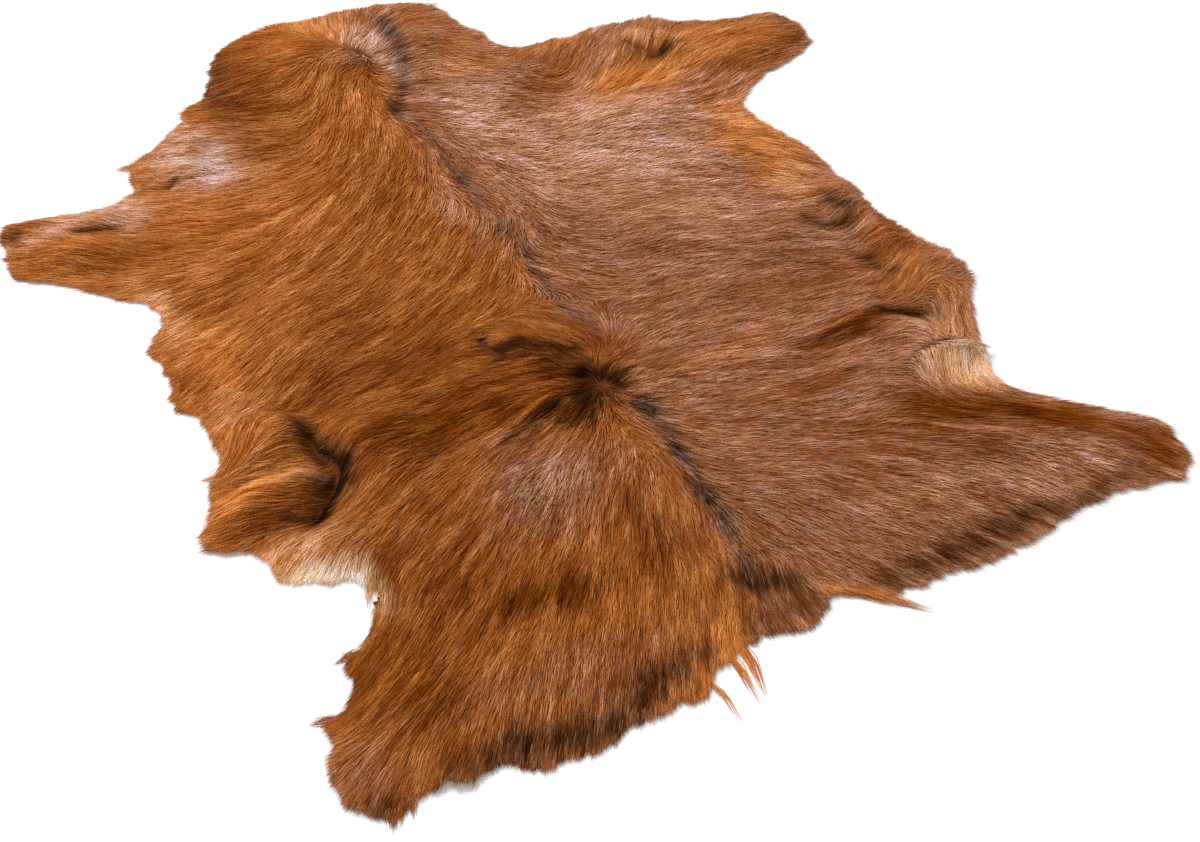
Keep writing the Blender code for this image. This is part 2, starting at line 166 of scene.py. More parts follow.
# A number for each draw, so that every run grows the same coat
SEED = 5
WANDER_DRAWS = (1, 3)
BREAK_DRAW = 7
RAGGED_DRAW = 8
ROOT_DRAW = 11
FRINGE_DRAW = 12
LENGTH_DRAW = 40
FRINGE_LENGTH_DRAW = 49
BAND_DRAW = 50
BAND_DRAW_STEP = 10
FRINGE_GROWTH_DRAW = 90
TUFT_DRAW = 99

# Materials: the scale and detail of each noise, and the range that it is spread over
MOTTLE = (700, 2)
MOTTLE_RANGE = (0.85, 1.15)
HAIR_GLOSS = (260, 2)
HAIR_ROUGH = (0.45, 0.62)
HAIR_GRAIN = (2400, 1)
HAIR_BUMP = (0.25, 0.0002)
HAIR_SPECULAR = 0.02
BLOTCH = (14, 6)
BLOTCH_EDGES = (0.35, 0.65)
SKIN_GLOSS = (90, 3)
SKIN_GRAIN_DETAIL = 3
SKIN_BUMP = 0.5
SKIN_SPECULAR = 0.08
NOISE_RANGE = (0.3, 0.7)

# The floor and the light
FLOOR_HALF = 12.0
FLOOR_GREY = 0.9
FLOOR_ROUGH = 0.9
WORLD_LIGHT = 0.46

Whorl = namedtuple("Whorl", "x y reach")
Tone = namedtuple("Tone", "red green blue glint")
Zone = namedtuple("Zone", "tone x y along across turn share")
Line = namedtuple("Line", "tone start middle end width share")
Tuft = namedtuple("Tuft", "root_x root_y tip_x tip_y spread count lift", defaults=(0.0,))
Rise = namedtuple("Rise", "start middle end width height")
Slit = namedtuple("Slit", "start middle end")
Bare = namedtuple("Bare", "x y along across turn")
Face = namedtuple("Face", "name dark pale rough grain depth")
Lamp = namedtuple("Lamp", "name place size power")

LAMPS = (Lamp("key", (-1.0, 1.7, 2.6), 1.4, 105), Lamp("fill", (-0.9, -2.4, 2.4), 2.4, 26))

# The two faces of the skin
# The hair side is dark brown under the strands: partly the undercoat's colour, partly painted shade in
# the gaps of the coat
HAIR_FACE = Face("undercoat_and_painted_shade", (74, 34, 10), (108, 54, 18), (0.6, 0.8), 900, 0.0006)
FLESH_FACE = Face("flesh_side", (214, 196, 168), (236, 226, 206), (0.7, 0.9), 500, 0.0003)

# The lie of the hair: a place, and the heading there in degrees from +X
FLOWS = (
    (-140, 456, 163), (-187, 459, 182), (-166, 365, 163), (-220, 377, 167),
    (-80, 406, 239), (-88, 333, 244), (-104, 455, 177), (-57, 497, 82),
    (-22, 463, 41), (-197, 256, 189), (-173, 155, 216), (-290, 224, 172),
    (-397, 224, 155), (-432, 245, 158), (-124, 91, 220), (-85, 211, 238),
    (-271, 325, 177), (-305, 312, 158), (-322, 15, 212), (-334, 79, 197),
    (-258, -31, 214), (-167, -68, 198), (-211, -125, 197), (-133, -119, 200),
    (-89, -175, 211), (-315, -94, 236), (-319, -154, 158), (-349, -175, 166),
    (-320, -239, 229), (-265, -292, 254), (-209, -266, 220), (-218, -360, 227),
    (-238, -373, 230), (-149, -370, 236), (-111, -425, 243), (-49, -488, 248),
    (-298, -424, 218), (-330, -438, 179), (-330, -482, 225), (-316, -521, 247),
    (-266, -495, 237), (-216, -510, 245), (-49, -249, 236), (-108, -327, 234),
    (-45, -353, 245), (49, -471, 273), (112, -468, 312), (47, -411, 262),
    (8, -426, 248), (13, -326, 255), (288, 42, 333), (244, -51, 338),
    (252, -108, 350), (260, -162, 4), (343, -107, 39), (377, -103, 18),
    (371, -156, 245), (326, -238, 249), (363, -204, 245), (219, -244, 350),
    (325, -301, 325), (394, -361, 321), (450, -384, 309), (421, -430, 314),
    (314, -439, 301), (215, -442, 302), (171, -338, 322), (109, -399, 305),
    (144, -259, 330), (82, -302, 318), (116, -206, 338), (76, -161, 346),
    (54, 403, 311), (43, 462, 348), (121, 334, 304), (179, 327, 49),
    (160, 358, 52), (196, 218, 343), (118, 174, 338), (92, 260, 329),
    (361, 307, 352), (321, 253, 22), (281, 133, 329), (309, 97, 308),
    (2, 176, 295), (-50, 150, 230), (-27, 96, 232), (32, 28, 313),
    (120, 36, 342), (112, -48, 355), (29, -128, 354), (-5, -77, 158),
    (-40, 6, 221), (-107, -13, 213), (295, -50, 329), (344, -20, 25),
    (258, 339, 57), (308, 318, 5), (-18, -132, 178), (-28, -156, 212),
    (-8, -112, 160), (22, -116, 62), (38, -132, 12), (36, -156, 338),
    (16, -166, 282), (-8, -164, 240), (-48, -92, 176), (-40, -60, 150),
    (-10, -52, 120), (-20, 412, 8), (-16, 384, 350), (-18, 360, 340),
    (-48, 372, 246), (-50, 420, 205), (-272, -128, 186), (-284, -150, 178),
    (-300, -170, 172), (-282, -178, 190), (-236, -140, 222), (-240, -176, 226),
)
FLOW_NEAR = 18.0
FLOW_POWER = 1.6

# The line of the spine, from the neck to the tail
SPINE = ((-47, 520), (-12, 440), (-21, 367), (-34, 332), (-14, 252), (-9, 197), (-10, 131),
         (10, 76), (7, 7), (28, -58), (25, -102), (32, -168), (39, -272), (43, -357), (45, -490))

# Where the hair turns out from a point
WHORLS = (Whorl(12, -140, 12),)

# Colours of the hair as seen, out of 255 on a screen, and the share of strands given painted glints
TONES = {
    "ginger": Tone(157, 91, 42, 0.03),
    "amber": Tone(188, 114, 54, 0.04),
    "honey": Tone(182, 117, 70, 0.08),
    "gold": Tone(212, 152, 105, 0.12),
    "rose": Tone(184, 130, 98, 0.2),
    "blush": Tone(204, 155, 126, 0.25),
    "rosewood": Tone(148, 95, 64, 0.16),
    "rust": Tone(124, 65, 23, 0.01),
    "chestnut": Tone(108, 52, 6, 0.0),
    "umber": Tone(28, 10, 2, 0.0),
    "plum": Tone(92, 52, 28, 0.06),
    "slate": Tone(76, 55, 52, 0.12),
    # Pale straw, partly the hair's own pale colour and partly painted light on the right flank's
    # crease, which catches the lamp
    "straw_and_painted_light": Tone(246, 192, 136, 0.08),
    # Painted sheen: the pale pink of light glancing off the hair, for sheen patches and the cooler
    # glints
    "painted_sheen": Tone(214, 184, 172, 0.4),
    "cream": Tone(228, 192, 150, 0.1),
    "ivory": Tone(242, 230, 214, 0.1),
}

# Soft patches of colour: half lengths along and across, the turn of the long one from +X in
# degrees, and how far the patch covers what is under it
ZONES = (
    # Right of the spine; the rose and blush here are partly the coat's own colour and partly painted
    # sheen
    Zone("rose", 160, 200, 140, 95, 0, 0.95),
    Zone("rose", 60, 180, 50, 80, 0, 0.6),
    Zone("blush", 185, 185, 66, 56, 0, 0.5),
    Zone("blush", 48, 300, 34, 60, -8, 0.8),
    Zone("rose", 215, 45, 80, 36, 0, 0.4),
    Zone("rosewood", 90, 60, 50, 46, 0, 0.7),
    Zone("rosewood", 130, -60, 100, 46, 0, 0.8),
    Zone("rust", 240, -78, 60, 34, 0, 0.45),
    Zone("honey", 125, -136, 70, 12, 8, 0.45),
    Zone("chestnut", 255, -165, 75, 20, 12, 0.95),
    Zone("rosewood", 130, -250, 90, 60, 0, 0.85),
    Zone("rust", 185, -215, 45, 11, 10, 0.8),
    Zone("rust", 205, -300, 50, 40, 0, 0.4),
    Zone("rosewood", 190, -375, 150, 38, 0, 0.75),
    Zone("plum", 255, -440, 175, 17, 4, 0.95),
    # Darker along the lower right rim: partly the coat's own dark colour, partly painted shade where
    # the rim turns from the light
    Zone("umber", 255, -440, 150, 12, 4, 0.25),
    Zone("amber", 300, 135, 42, 90, 0, 0.9),
    Zone("gold", 312, 80, 22, 46, 0, 0.6),
    Zone("ginger", 345, -80, 36, 64, -30, 0.85),
    Zone("honey", 362, -150, 22, 46, 20, 0.6),
    Zone("gold", 336, -190, 30, 22, 0, 0.8),
    Zone("gold", 330, -254, 36, 28, 0, 0.95),
    Zone("rose", 292, -252, 18, 18, 0, 0.7),
    # Partly painted light: the lit crease of the right flank made paler
    Zone("straw_and_painted_light", 334, -241, 34, 15, -6, 0.95),
    Zone("chestnut", 285, -290, 45, 36, -35, 1.0),
    Zone("chestnut", 366, -340, 92, 30, -40, 1.0),
    Zone("rose", 200, -378, 60, 16, 0, 0.45),
    Zone("rose", 328, -394, 60, 20, -20, 0.85),
    Zone("chestnut", 374, -346, 50, 17, -38, 0.7),
    Zone("rust", 436, -404, 28, 32, 0, 0.9),
    # Right foreleg
    Zone("ginger", 335, 318, 120, 52, 4, 0.85),
    Zone("rust", 150, 335, 65, 26, 38, 0.85),
    Zone("amber", 222, 288, 62, 34, 15, 0.9),
    Zone("amber", 300, 345, 60, 24, -8, 0.6),
    Zone("ginger", 372, 292, 50, 30, 18, 0.9),
    Zone("plum", 416, 305, 12, 32, 0, 0.7),
    Zone("amber", 160, 383, 60, 9, 0, 0.6),
    # Neck
    Zone("ginger", -110, 430, 50, 90, 0, 0.8),
    Zone("rust", -176, 420, 36, 110, 0, 0.95),
    Zone("plum", -200, 440, 18, 56, -12, 0.7),
    Zone("honey", -66, 478, 26, 60, 0, 0.85),
    Zone("rust", 34, 482, 46, 40, 0, 0.7),
    Zone("honey", 62, 400, 34, 36, 0, 0.7),
    Zone("ginger", -95, 340, 60, 56, 0, 0.7),
    # Painted sheen on the neck, left of the stripe
    Zone("painted_sheen", -32, 466, 24, 34, 3, 0.4),
    Zone("painted_sheen", -14, 424, 14, 40, 8, 0.6),
    # Left foreleg and shoulder; the blush and sheen by the shoulder's slit are painted sheen, and the
    # rose and blush on the foreleg painted sheen over its ginger
    Zone("blush", -254, 332, 44, 56, 30, 0.85),
    Zone("painted_sheen", -238, 322, 12, 36, -18, 0.5),
    Zone("rose", -405, 276, 60, 17, 5, 0.85),
    Zone("blush", -345, 266, 34, 26, 0, 0.7),
    Zone("ginger", -442, 232, 28, 30, 0, 0.9),
    Zone("plum", -459, 284, 11, 15, 0, 0.8),
    Zone("ginger", -378, 170, 48, 15, -32, 0.6),
    # Left of the spine
    Zone("amber", -232, 222, 85, 62, 0, 0.45),
    Zone("ginger", -120, 175, 56, 90, 0, 0.8),
    Zone("rose", -36, 172, 12, 85, 5, 0.55),
    Zone("rust", -175, 30, 110, 46, 0, 0.1),
    Zone("rust", -170, -52, 120, 44, 0, 0.85),
    Zone("chestnut", -140, -132, 125, 38, 8, 0.85),
    Zone("rust", -84, -92, 60, 26, 0, 0.6),
    Zone("chestnut", -50, -148, 80, 30, 14, 0.9),
    Zone("umber", -24, -138, 40, 18, 14, 0.35),
    Zone("gold", -342, 112, 14, 55, 8, 0.85),
    Zone("amber", -318, 30, 24, 62, 0, 0.85),
    Zone("honey", -322, -55, 26, 32, 0, 0.85),
    Zone("amber", -312, -112, 44, 22, 10, 0.95),
    Zone("amber", -334, -168, 44, 20, 10, 0.95),
    # Painted light: lighter amber on the pouch's slope that turns away from the lamp
    Zone("amber", -290, -106, 36, 24, 0, 0.9),
    # Painted highlight: a lit golden spot on the flap beside the hollow
    Zone("gold", -288, -160, 18, 12, 0, 0.7),
    Zone("amber", -300, -190, 30, 10, 0, 0.5),
    Zone("rust", -364, -194, 20, 12, 10, 0.6),
    Zone("gold", -312, -232, 44, 22, 0, 0.75),
    Zone("cream", -302, -270, 36, 11, -6, 0.9),
    Zone("cream", -260, -292, 13, 36, 8, 0.9),
    Zone("ivory", -276, -282, 14, 10, -20, 0.8),
    # Rump
    Zone("rust", -205, -300, 66, 62, 0, 0.9),
    Zone("rosewood", -84, -245, 64, 62, 0, 0.95),
    Zone("blush", -85, -245, 42, 34, 0, 0.25),
    Zone("rust", -20, -322, 30, 58, 0, 0.75),
    Zone("chestnut", -120, -362, 64, 24, 0, 1.0),
    Zone("rosewood", -150, -446, 120, 28, 0, 0.5),
    Zone("rosewood", -110, -490, 90, 16, 9, 0.6),
    Zone("plum", -170, -506, 168, 28, 9, 1.0),
    # Darker along the rump's lower rim: partly the coat's own dark colour, partly painted shade where
    # the rim turns from the light
    Zone("umber", -150, -496, 130, 22, 9, 0.4),
    Zone("chestnut", -278, -398, 52, 64, 40, 0.8),
    Zone("rosewood", -335, -474, 34, 32, 0, 0.8),
    Zone("plum", -330, -508, 34, 12, 0, 0.8),
    Zone("plum", 38, -466, 70, 18, 0, 0.9),
    # Painted shade in the hollow by the tail
    Zone("umber", 42, -420, 24, 13, -20, 0.85),
    Zone("umber", -120, -362, 52, 14, 0, 0.3),
    Zone("plum", -20, -322, 26, 50, 0, 0.35),
)

# Narrow bands of colour along a bent line; some are painted shade in slits, folds and hollows, and
# some painted light along creases
LINES = (
    Line("slate", (2, 500), (12, 440), (-12, 364), 9, 1.3),
    # Painted shade in the small fold at the lower end of the neck's stripe
    Line("umber", (-22, 352), (-36, 340), (-32, 330), 10, 1.3),
    Line("slate", (-30, 330), (-14, 260), (-9, 190), 8, 0.75),
    Line("slate", (-9, 190), (-4, 120), (10, 60), 8, 0.75),
    Line("slate", (10, 60), (8, 0), (30, -70), 8, 0.8),
    Line("slate", (34, -176), (40, -250), (43, -340), 11, 1.4),
    Line("slate", (43, -340), (40, -380), (40, -420), 7, 0.8),
    Line("rust", (-56, -48), (-14, -62), (34, -86), 15, 0.95),
    # Painted shade in the slit and crease of the pleat near the middle
    Line("umber", (-70, -34), (-76, -54), (-60, -74), 5, 1.6),
    Line("umber", (-62, -72), (-38, -86), (-2, -92), 9, 2.8),
    Line("umber", (-44, -62), (-38, -76), (-30, -90), 8, 1.5),
    Line("umber", (-22, -72), (-14, -84), (-8, -94), 6, 1.3),
    Line("rust", (-66, -84), (-20, -106), (34, -106), 17, 1.0),
    Line("umber", (-4, -114), (10, -128), (20, -146), 13, 1.3),
    Line("umber", (10, -136), (-14, -138), (-44, -146), 10, 1.0),
    Line("umber", (8, -142), (-12, -154), (-44, -168), 10, 0.9),
    Line("umber", (6, -146), (-6, -160), (-20, -178), 9, 0.75),
    Line("umber", (12, -146), (8, -158), (4, -170), 7, 0.6),
    Line("umber", (18, -128), (36, -122), (56, -120), 5, 0.9),
    Line("umber", (24, -134), (48, -132), (80, -138), 4, 0.9),
    Line("umber", (30, -148), (60, -154), (92, -160), 4, 0.7),
    Line("rust", (36, -118), (60, -122), (84, -134), 12, 0.8),
    Line("umber", (-44, -152), (-70, -164), (-104, -180), 7, 0.9),
    # Painted shade in the deep hollow beside the pouch and the flap
    Line("umber", (-262, -96), (-264, -106), (-258, -120), 9, 1.3),
    Line("umber", (-256, -126), (-242, -148), (-256, -174), 14, 2.2),
    Line("umber", (-254, -168), (-264, -186), (-286, -204), 7, 1.5),
    Line("umber", (-286, -204), (-298, -202), (-308, -196), 5, 0.8),
    # Painted shade in the fold of the left foreleg
    Line("umber", (-394, 260), (-376, 255), (-358, 252), 4, 0.95),
    # Painted shade in the slit at the left shoulder
    Line("umber", (-291, 292), (-284, 300), (-276, 307), 3.5, 0.95),
    # Painted highlight: a pale line by the shoulder's slit, where the crease catches the light
    Line("ivory", (-276, 350), (-262, 322), (-246, 296), 4, 0.6),
    Line("gold", (250, 368), (262, 346), (292, 348), 8, 0.8),
    # Painted shade in the slit of the right foreleg
    Line("umber", (236, 358), (246, 338), (260, 324), 4, 0.9),
    Line("umber", (258, 324), (278, 332), (304, 338), 5, 0.95),
    Line("umber", (250, 331), (262, 323), (277, 331), 8, 1.0),
    # Painted shade in a trough high on the right flank
    Line("umber", (288, 4), (300, -12), (320, -22), 10, 0.9),
    Line("umber", (322, 20), (328, 10), (332, 0), 10, 1.4),
    Line("umber", (314, -72), (322, -84), (332, -94), 9, 1.3),
    # Painted shade in a trough lower on the right flank
    Line("umber", (292, -142), (314, -157), (336, -170), 7, 1.2),
    # Partly painted light: a pale band along the lit crest of the right flank's crease
    Line("straw_and_painted_light", (290, -222), (322, -225), (364, -230), 5, 0.8),
    Line("cream", (336, -227), (352, -229), (368, -231), 7, 1.2),
    # Painted shade in the hollow by the tail
    Line("umber", (28, -402), (44, -422), (60, -432), 14, 0.9),
    Line("amber", (94, -440), (116, -456), (150, -484), 9, 1.2),
    Line("amber", (-6, -448), (-8, -468), (-10, -490), 12, 1.2),
    Line("amber", (-44, -486), (-41, -496), (-38, -510), 6, 1.2),
)

# Soft ridges and, below nought, soft troughs in the coat along a bent line
RISES = (
    Rise((-60, -42), (-14, -56), (34, -84), 10, 4.0),
    Rise((-72, -36), (-74, -56), (-56, -78), 5, -5.0),
    Rise((-60, -76), (-38, -88), (-14, -94), 6, -6.0),
    Rise((-70, -104), (-20, -118), (4, -116), 9, 1.5),
    Rise((4, -134), (13, -140), (24, -148), 9, -5.0),
    Rise((-260, -104), (-262, -116), (-256, -128), 6, -5.0),
    Rise((-256, -128), (-244, -146), (-254, -168), 9, -10.0),
    Rise((-254, -168), (-264, -186), (-286, -204), 7, -7.0),
    Rise((-274, -134), (-268, -156), (-290, -184), 9, 4.0),
    Rise((-394, 260), (-376, 255), (-358, 252), 5, -3.0),
    Rise((-290, 293), (-282, 300), (-273, 307), 5, -3.0),
    Rise((240, 364), (248, 330), (262, 324), 6, -4.0),
    Rise((262, 324), (284, 334), (304, 342), 5, -3.0),
    Rise((256, 366), (262, 342), (284, 346), 7, 3.0),
    Rise((288, 4), (300, -12), (320, -22), 8, -4.0),
    Rise((300, -146), (322, -160), (342, -172), 9, -4.0),
    Rise((282, -219), (316, -221), (358, -226), 6, 3.0),
    Rise((-22, 352), (-36, 340), (-32, 330), 8, -4.0),
    Rise((28, -402), (44, -422), (60, -432), 10, -3.0),
)

# Where the hair parts cleanly, so that none lies across
SLITS = (
    Slit((-260, -104), (-262, -116), (-256, -128)), Slit((-256, -128), (-244, -146), (-254, -168)),
    Slit((-254, -168), (-264, -186), (-286, -204)), Slit((-286, -204), (-298, -202), (-308, -196)),
    Slit((-70, -36), (-76, -52), (-62, -72)), Slit((-62, -72), (-40, -88), (-12, -94)),
    Slit((236, 358), (246, 338), (260, 324)),
    Slit((258, 324), (278, 332), (304, 338)), Slit((-394, 260), (-376, 255), (-358, 252)),
    Slit((-291, 292), (-284, 300), (-276, 307)), Slit((296, -144), (314, -156), (332, -168)),
    Slit((290, 4), (302, -10), (320, -20)), Slit((-34, 356), (-38, 344), (-28, 332)),
)

# Where the pale skin shows at the rim: a centre, half lengths along and across, and a turn
BARES = (Bare(-274, -284, 17, 6, -12), Bare(-264, -300, 12, 5, 66), Bare(-272, -518, 20, 7, -20))

# The long locks past the rim: root, tip, how wide they spread, and how many strands; the lift sets
# a lock's height over the skin, as a share of the pile
TUFTS = (
    Tuft(102, -446, 168, -498, 6, 130), Tuft(-3, -464, -4, -528, 4, 46),
    Tuft(-16, -473, -12, -534, 3.5, 36), Tuft(-41, -496, -33, -547, 2, 16),
    Tuft(-322, -524, -327, -539, 5, 40), Tuft(-304, -516, -307, -534, 5, 40),
    Tuft(-344, -414, -358, -413, 5, 40), Tuft(-376, -198, -394, -197, 6, 50),
    Tuft(-352, -118, -368, -114, 5, 40), Tuft(-300, 347, -338, 349, 9, 220),
    Tuft(-352, 166, -365, 157, 5, 50), Tuft(-237, 416, -254, 422, 4, 40),
    Tuft(272, 374, 288, 406, 5, 140), Tuft(288, 186, 314, 196, 6, 90),
    Tuft(296, 164, 328, 164, 6, 80), Tuft(-306, -357, -321, -362, 4, 40),
    Tuft(52, 505, 80, 511, 4, 40), Tuft(364, -229, 282, -220, 0.6, 26, 0.8),
    Tuft(366, -230, 318, -224, 0.5, 16, 0.9),
)


# The solid's form, read on a grid
class Ground:
    """Fields over the floor, in millimetres, each read between its grid points."""

    def __init__(self, low, high, cell):
        self.low = np.array(low) - MARGIN
        self.cell = cell
        self.shape = tuple(np.ceil((np.array(high) - low + 2 * MARGIN) / cell).astype(int) + 1)

    def spots(self):
        x = self.low[0] + self.cell * np.arange(self.shape[0])
        y = self.low[1] + self.cell * np.arange(self.shape[1])
        return np.stack(np.meshgrid(x, y, indexing="ij"), axis=-1)

    def read(self, field, places):
        """The field's value at each place, straight between the four grid points around it."""
        steps = (places - self.low) / self.cell
        steps = np.clip(steps, 0, np.array(self.shape) - 1.001)
        cell = steps.astype(int)
        a, b = (steps - cell).T
        if field.ndim == 3:
            a, b = a[:, None], b[:, None]
        i, j = cell.T
        lower = field[i, j] * (1 - a) + field[i + 1, j] * a
        upper = field[i, j + 1] * (1 - a) + field[i + 1, j + 1] * a
        return lower * (1 - b) + upper * b


def solid_heights(node, ground):
    """Underside, top and a mask of the node on the grid, in millimetres."""
    points = [v.co for v in node.data.vertices]
    tree = BVHTree.FromPolygons(points, [tuple(p.vertices) for p in node.data.polygons])
    spots = ground.spots() * MM
    under, top = np.zeros(ground.shape), np.zeros(ground.shape)
    inside = np.zeros(ground.shape, bool)
    up, down = Vector((0, 0, 1)), Vector((0, 0, -1))
    for i in range(ground.shape[0]):
        for j in range(ground.shape[1]):
            x, y = spots[i, j]
            above = tree.ray_cast(Vector((x, y, 1)), down)[0]
            if above is not None:
                below = tree.ray_cast(Vector((x, y, -1)), up)[0]
                under[i, j], top[i, j], inside[i, j] = below.z / MM, above.z / MM, True
    return under, top, inside


def softened(field, reach):
    """Gaussian softening, with reach in millimetres."""
    cells = reach / CELL
    wide = int(3 * cells) + 1
    weights = np.exp(-0.5 * (np.arange(-wide, wide + 1) / cells) ** 2)
    weights /= weights.sum()
    for axis in (0, 1):
        pads = [(wide, wide) if a == axis else (0, 0) for a in (0, 1)]
        padded = np.pad(field, pads, mode="edge")
        size = field.shape[axis]
        field = sum(w * np.take(padded, range(k, k + size), axis=axis) for k, w in enumerate(weights))
    return field


def filled(field, inside, outer):
    """The field softened within the mask and running on to its outer value outside."""
    share = softened(inside.astype(float), SOFTEN)
    total = softened(np.where(inside, field, 0.0), SOFTEN)
    run_on = total / np.maximum(share, 1e-6)
    fade = np.clip(share / EDGE_FADE, 0, 1)
    return np.where(share > 1e-5, run_on * fade + outer * (1 - fade), outer)


def gap_to(cells):
    """Distance of each grid point from the nearest marked one, in millimetres."""
    far = 4.0 * max(cells.shape) ** 2
    result = np.where(cells, 0.0, far)
    for _ in range(2):
        steps = np.arange(result.shape[1])
        square = (steps[:, None] - steps[None, :]) ** 2
        result = np.array([(line[None, :] + square).min(axis=1) for line in result]).T
    return np.sqrt(result) * CELL


def skin_field(inside):
    """How far a place lies within the skin's edge, which leaves out the locks of hair."""
    depth = gap_to(~inside)
    core = depth > LOCK_RADIUS
    reach = LOCK_RADIUS - SKIN_INSET
    field = np.where(core, reach + gap_to(~core), reach - gap_to(core))
    return softened(field, SKIN_SOFTEN * CELL)


# Random lumps and bent lines
def dice(seed):
    return np.random.default_rng(SEED * 1000 + seed)


def lumps(places, size, seed):
    """Smooth noise from -1 to 1 with lumps of this size."""
    steps = (places + NOISE_HALF) / size
    lattice = dice(seed).uniform(-1, 1, (int(2 * NOISE_HALF / size) + 3,) * 2)
    cell = np.clip(np.floor(steps).astype(int), 0, lattice.shape[0] - 2)
    part = np.clip(steps - cell, 0, 1)
    a, b = (part * part * (3 - 2 * part)).T
    i, j = cell.T
    lower = lattice[i, j] * (1 - a) + lattice[i + 1, j] * a
    upper = lattice[i, j + 1] * (1 - a) + lattice[i + 1, j + 1] * a
    return lower * (1 - b) + upper * b


def wander(places, seed):
    """A smooth shift of some millimetres, wide and fine lumps together."""
    return sum(lumps(places, size, seed + k) * reach for k, (size, reach) in enumerate(WANDERS))


def bent(start, middle, end, steps=9):
    """Points along the bent line from start to end that leans towards its middle point."""
    t = np.linspace(0, 1, steps)[:, None]
    return (1 - t) ** 2 * np.array(start) + 2 * t * (1 - t) * np.array(middle) + t**2 * np.array(end)


def gap_to_line(places, line):
    """Distance of each place from the line."""
    nearest = np.full(len(places), np.inf)
    for a, b in zip(line[:-1], line[1:]):
        run = b - a
        share = np.clip((places - a) @ run / max(run @ run, 1e-9), 0, 1)
        nearest = np.minimum(nearest, np.linalg.norm(places - a - share[:, None] * run, axis=1))
    return nearest


def met_at(starts, ends, line):
    """Share of the way from each start to its end at which it meets the line, or 1."""
    share = np.ones(len(starts))
    run = ends - starts
    for a, b in zip(line[:-1], line[1:]):
        edge, away = b - a, a - starts
        flat = run[:, 0] * edge[1] - run[:, 1] * edge[0]
        flat = np.where(np.abs(flat) < 1e-9, 1e-9, flat)
        along = (away[:, 0] * edge[1] - away[:, 1] * edge[0]) / flat
        across = (away[:, 0] * run[:, 1] - away[:, 1] * run[:, 0]) / flat
        share = np.where((along > 0) & (along < share) & (across >= 0) & (across <= 1), along, share)
    return share


def bare(places):
    """Whether each place lies in one of the bare patches of the rim."""
    found = np.zeros(len(places), bool)
    for patch in BARES:
        turn = math.radians(patch.turn)
        away = places - (patch.x, patch.y)
        along = away @ (math.cos(turn), math.sin(turn)) / patch.along
        across = away @ (-math.sin(turn), math.cos(turn)) / patch.across
        found |= along**2 + across**2 < 1
    return found


# The lie of the hair
def headings(places):
    """Unit direction of the hair at each place."""
    total = np.zeros((len(places), 2))
    for x, y, heading in FLOWS:
        gap = np.sum((places - (x, y)) ** 2, axis=1)
        weight = 1.0 / (gap + FLOW_NEAR**2) ** FLOW_POWER
        angle = math.radians(heading)
        total += weight[:, None] * (math.cos(angle), math.sin(angle))
    total /= np.maximum(np.linalg.norm(total, axis=1, keepdims=True), 1e-12)
    for whorl in WHORLS:
        out = places - (whorl.x, whorl.y)
        far = np.linalg.norm(out, axis=1, keepdims=True)
        share = np.exp(-((far / whorl.reach) ** 2))
        total = total * (1 - share) + out / np.maximum(far, 1e-6) * share
    return total / np.maximum(np.linalg.norm(total, axis=1, keepdims=True), 1e-12)


# Colour of the coat
def linear(tone):
    """A screen colour out of 255 as shares of light."""
    share = np.array(tone[:3]) / 255
    return np.where(share <= 0.04045, share / 12.92, ((share + 0.055) / 1.055) ** 2.4)


def full(name):
    """A tone's colour, with its share of glints as a fourth number."""
    return np.append(linear(TONES[name]), TONES[name].glint)


def coat_colours(places):
    """Colour of the hair at each place and its share of glints, without what each strand adds."""
    spine = np.array(SPINE, float)
    order = np.argsort(spine[:, 1])
    middle = np.interp(places[:, 1], spine[order, 1], spine[order, 0])
    right = 1 / (1 + np.exp(-(places[:, 0] - middle) / SPINE_BLEND))[:, None]
    colour = full("ginger") * (1 - right) + full("rosewood") * right
    stir = np.stack([wander(places, seed) for seed in WANDER_DRAWS], axis=1)
    stirred = places + stir
    for zone in ZONES:
        turn = math.radians(zone.turn)
        away = stirred - (zone.x, zone.y)
        along = (away @ (math.cos(turn), math.sin(turn))) / zone.along
        across = (away @ (-math.sin(turn), math.cos(turn))) / zone.across
        share = zone.share * np.exp(-((along**2 + across**2) ** ZONE_EDGE))[:, None]
        colour = colour * (1 - share) + full(zone.tone) * share
    ragged = lumps(places, RAGGED_SIZE, RAGGED_DRAW)
    broken = BREAK_MEAN + BREAK_SPREAD * lumps(places, BREAK_SIZE, BREAK_DRAW) + BREAK_SPREAD * ragged
    for line in LINES:
        gap = gap_to_line(places + LINE_WANDER * stir, bent(line.start, line.middle, line.end))
        gap = np.abs(gap + RAGGED_REACH * ragged)
        share = np.clip(line.share * broken * np.exp(-((gap / line.width) ** 2)), 0, 1)[:, None]
        colour = colour * (1 - share) + full(line.tone) * share
    return colour


# Materials
def noise_node(nodes, links, scale, detail, coordinates):
    """Noise in the piece's own coordinates."""
    node = nodes.new("ShaderNodeTexNoise")
    node.inputs["Scale"].default_value = scale
    node.inputs["Detail"].default_value = detail
    links.new(coordinates.outputs["Object"], node.inputs["Vector"])
    return node


def spread_node(nodes, links, source, low, high):
    """The source's usual range spread from low to high."""
    node = nodes.new("ShaderNodeMapRange")
    node.inputs["From Min"].default_value = NOISE_RANGE[0]
    node.inputs["From Max"].default_value = NOISE_RANGE[1]
    node.inputs["To Min"].default_value = low
    node.inputs["To Max"].default_value = high
    links.new(source, node.inputs["Value"])
    return node


